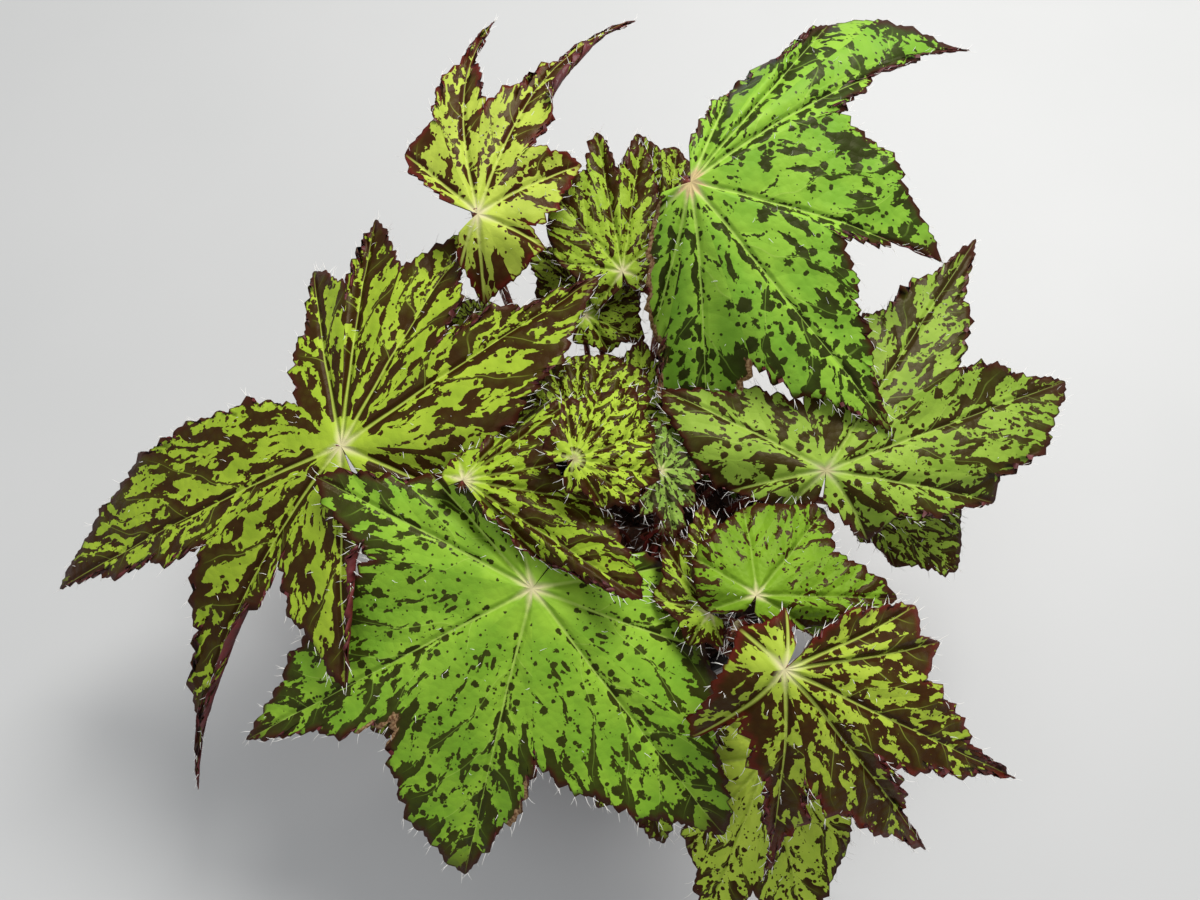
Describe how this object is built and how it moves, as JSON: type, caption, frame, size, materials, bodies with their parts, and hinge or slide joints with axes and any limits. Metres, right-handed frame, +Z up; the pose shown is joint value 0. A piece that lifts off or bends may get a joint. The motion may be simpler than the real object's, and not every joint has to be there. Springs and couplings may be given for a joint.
{
  "type": "potted begonia",
  "caption": "Potted begonia with star-shaped, toothed, brown-blotched leaves on arching hairy stalks, rising from a creeping stem in the soil of a plain round pot.",
  "frame": {"origin": "centre of the pot's flat underside", "axes": "+Z up; -Y towards the front of the plant, the side the picture is taken from; +X to its right as seen from there"},
  "size_m": [0.4426, 0.3715, 0.2187],
  "materials": {
    "pot_plastic": "matte",
    "soil": "matte",
    "creeping_stem": "matte",
    "leaf_green": "satin",
    "young_leaf": "satin",
    "leaf_maroon": "matte"
  },
  "bodies": {
    "root": {"creeping_stem": "creeping_stem", "leaf_back_left": "young_leaf", "leaf_back_low": "leaf_green", "leaf_back_middle": "leaf_green", "leaf_back_right_large": "leaf_green", "leaf_back_shaded": "leaf_green", "leaf_back_small": "leaf_green", "leaf_centre_left": "leaf_green", "leaf_centre_low": "leaf_green", "leaf_centre_right": "leaf_green", "leaf_centre_shaded": "leaf_green", "leaf_centre_young": "young_leaf", "leaf_centre_young_behind": "young_leaf", "leaf_crown_small": "young_leaf", "leaf_front_broad": "leaf_green", "leaf_front_low_left": "leaf_green", "leaf_front_low_right": "leaf_green", "leaf_front_right_low": "leaf_green", "leaf_front_right_star": "young_leaf", "leaf_left_long": "leaf_green", "leaf_left_low": "leaf_green", "leaf_right_low": "leaf_green", "leaf_right_shaded": "leaf_green", "leaf_right_star": "leaf_green", "leaf_young_bud": "leaf_maroon", "leaf_young_folded": "leaf_maroon", "pot": "pot_plastic", "soil": "soil"}
  },
  "joints": []
}
